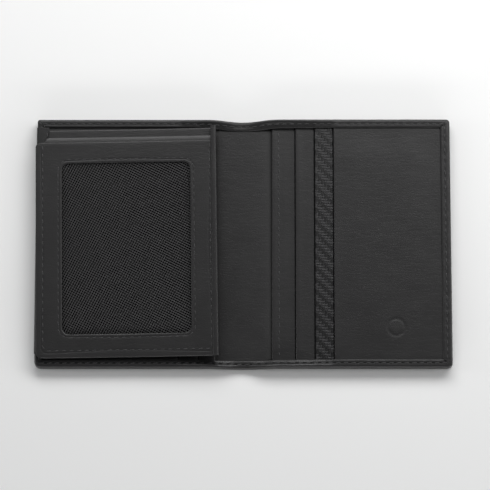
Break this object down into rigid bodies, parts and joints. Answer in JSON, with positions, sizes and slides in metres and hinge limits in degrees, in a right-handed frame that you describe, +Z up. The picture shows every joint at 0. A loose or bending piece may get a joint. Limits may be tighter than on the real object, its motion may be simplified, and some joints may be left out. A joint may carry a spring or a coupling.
{
  "type": "trifold wallet",
  "caption": "Open trifold wallet: left panel, spine and right panel of stepped card pockets in one leather shell, and an identity-card leaf with a net window.",
  "frame": {"origin": "under the middle of the open wallet, on the face that it rests on", "axes": "+X along the open wallet from the leaf to the card pockets, +Y towards the top edge, +Z up, out of the inner face"},
  "size_m": [0.1676, 0.102, 0.0069],
  "materials": {
    "shell_leather": "smooth nappa leather, satin",
    "pocket_leather": "thin smooth nappa leather, satin",
    "twill_leather": "leather embossed with a small twill pattern, semi-gloss",
    "stiffening_board": "bonded fibre board, matte",
    "interlining": "soft fleece interlining, matte",
    "shield_film": "metallised film, satin",
    "lining_cloth": "plain-woven textile lining, matte",
    "window_net": "fine black woven net, matte",
    "thread": "black sewing thread, slight sheen"
  },
  "bodies": {
    "left_panel": {"outer_shell_left": "shell_leather", "stiffener_left": "stiffening_board", "shield_film_left": "shield_film", "inner_facing_left": "pocket_leather", "left_pocket_base": "pocket_leather", "left_pocket_lining_1": "lining_cloth", "left_card_pocket_1": "pocket_leather", "left_pocket_lining_2": "lining_cloth", "left_card_pocket_2": "pocket_leather", "rim_stitching_left": "thread"},
    "spine": {"outer_shell_spine": "shell_leather", "spine_interlining": "interlining", "inner_facing_spine": "pocket_leather", "rim_stitching_spine": "thread"},
    "right_panel": {"outer_shell_right": "shell_leather", "stiffener_right": "stiffening_board", "shield_film_right": "shield_film", "inner_facing_right": "pocket_leather", "right_pocket_base": "pocket_leather", "base_edge_stitching": "thread", "pocket_lining_1": "lining_cloth", "card_pocket_1": "pocket_leather", "pocket_lining_2": "lining_cloth", "twill_card_pocket": "twill_leather", "pocket_lining_3": "lining_cloth", "front_card_pocket": "pocket_leather", "rim_stitching_right": "thread"},
    "id_flap": {"flap_back_panel": "pocket_leather", "flap_inner_pocket": "pocket_leather", "window_mesh": "window_net", "window_frame": "pocket_leather", "flap_edge_stitching": "thread", "window_stitching": "thread", "flap_hinge_strip": "pocket_leather"}
  },
  "joints": [
    {"name": "spine_fold_left", "type": "hinge", "parent": "left_panel", "child": "spine", "pos_m": [-0.00575, 0, 0.00249], "axis": [0, -1, 0], "range_deg": [0, 90]},
    {"name": "spine_fold_right", "type": "hinge", "parent": "spine", "child": "right_panel", "pos_m": [0.00625, 0, 0.00249], "axis": [0, -1, 0], "range_deg": [0, 90]},
    {"name": "leaf_hinge", "type": "hinge", "parent": "left_panel", "child": "id_flap", "pos_m": [-0.0836, 0, 0.0038], "axis": [0, -1, 0], "range_deg": [0, 178]}
  ],
  "couplings": [
    {"joint": "spine_fold_left", "follows": "spine_fold_right", "ratio": 1}
  ]
}
